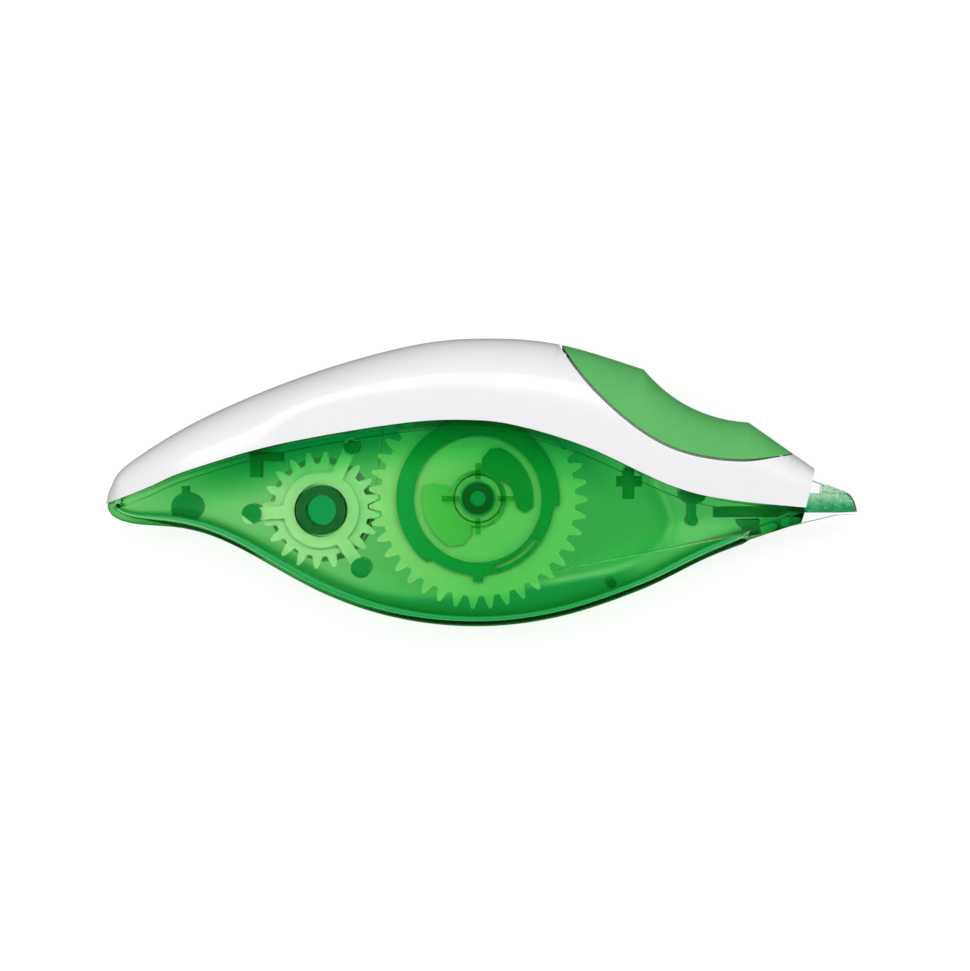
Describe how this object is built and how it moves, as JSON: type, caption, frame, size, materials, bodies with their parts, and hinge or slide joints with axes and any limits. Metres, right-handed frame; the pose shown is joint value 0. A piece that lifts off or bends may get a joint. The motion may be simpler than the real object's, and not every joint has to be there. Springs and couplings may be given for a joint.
{
  "type": "correction tape roller",
  "caption": "Handheld correction tape dispenser: translucent green shells, white spine cover, soft grip pad, clear applicator tip, and a geared supply and take-up mechanism.",
  "frame": {"origin": "middle of the footprint on the surface that the back face rests on, with the tape roller lying on its side", "axes": "+X towards the applicator tip, +Y towards the grip and spine side, +Z out of the front face"},
  "size_m": [0.1274, 0.0485, 0.017],
  "materials": {
    "green_shell": "smooth translucent green injection moulding",
    "green_moulding": "solid posts and plates of the same tinted plastic",
    "white_cover": "smooth opaque white, satin gloss",
    "grip_rubber": "matte green soft-touch rubber",
    "clear_tip": "clear plastic with a faint green tint",
    "white_moulding": "natural white acetal gears and spools",
    "white_tape": "dry white correction film on its carrier",
    "tape_liner": "thin translucent carrier tape"
  },
  "bodies": {
    "case": {"front_shell": "green_shell", "back_shell": "green_shell", "spine_cover": "white_cover", "grip_pad": "grip_rubber", "applicator_tip": "clear_tip", "supply_axle": "green_moulding", "take_up_axle": "green_moulding", "take_up_retainer": "white_moulding", "retainer_post_left": "green_moulding", "retainer_post_upper": "green_moulding", "retainer_post_lower": "green_moulding", "tape_guide_front": "green_moulding", "tape_guide_rear": "green_moulding", "mouth_guide": "green_moulding", "tip_rest": "green_moulding", "tip_bracket": "green_moulding", "cover_catch_front": "green_moulding", "cover_catch_rear": "green_moulding", "tail_post": "green_moulding", "belly_pin": "green_moulding", "fresh_tape_strand": "white_tape", "used_tape_strand": "tape_liner"},
    "drive_gear": {"drive_gear": "white_moulding", "clutch_ring": "green_moulding"},
    "supply_spool": {"supply_core": "white_moulding", "clutch_spring": "green_moulding", "tape_roll": "white_tape"},
    "take_up_spool": {"take_up_gear": "white_moulding", "used_tape_winding": "tape_liner"}
  },
  "joints": [
    {"name": "drive_gear_spin", "type": "hinge", "parent": "case", "child": "drive_gear", "pos_m": [-0.00068, -0.00272, 0], "axis": [0, 0, 1], "continuous": true},
    {"name": "supply_clutch_slip", "type": "hinge", "parent": "drive_gear", "child": "supply_spool", "pos_m": [-0.00068, -0.00272, 0], "axis": [0, 0, 1], "continuous": true},
    {"name": "take_up_spin", "type": "hinge", "parent": "case", "child": "take_up_spool", "pos_m": [-0.02716, -0.00466, 0], "axis": [0, 0, 1], "continuous": true}
  ],
  "couplings": [
    {"joint": "take_up_spin", "follows": "drive_gear_spin", "ratio": -1.95}
  ]
}
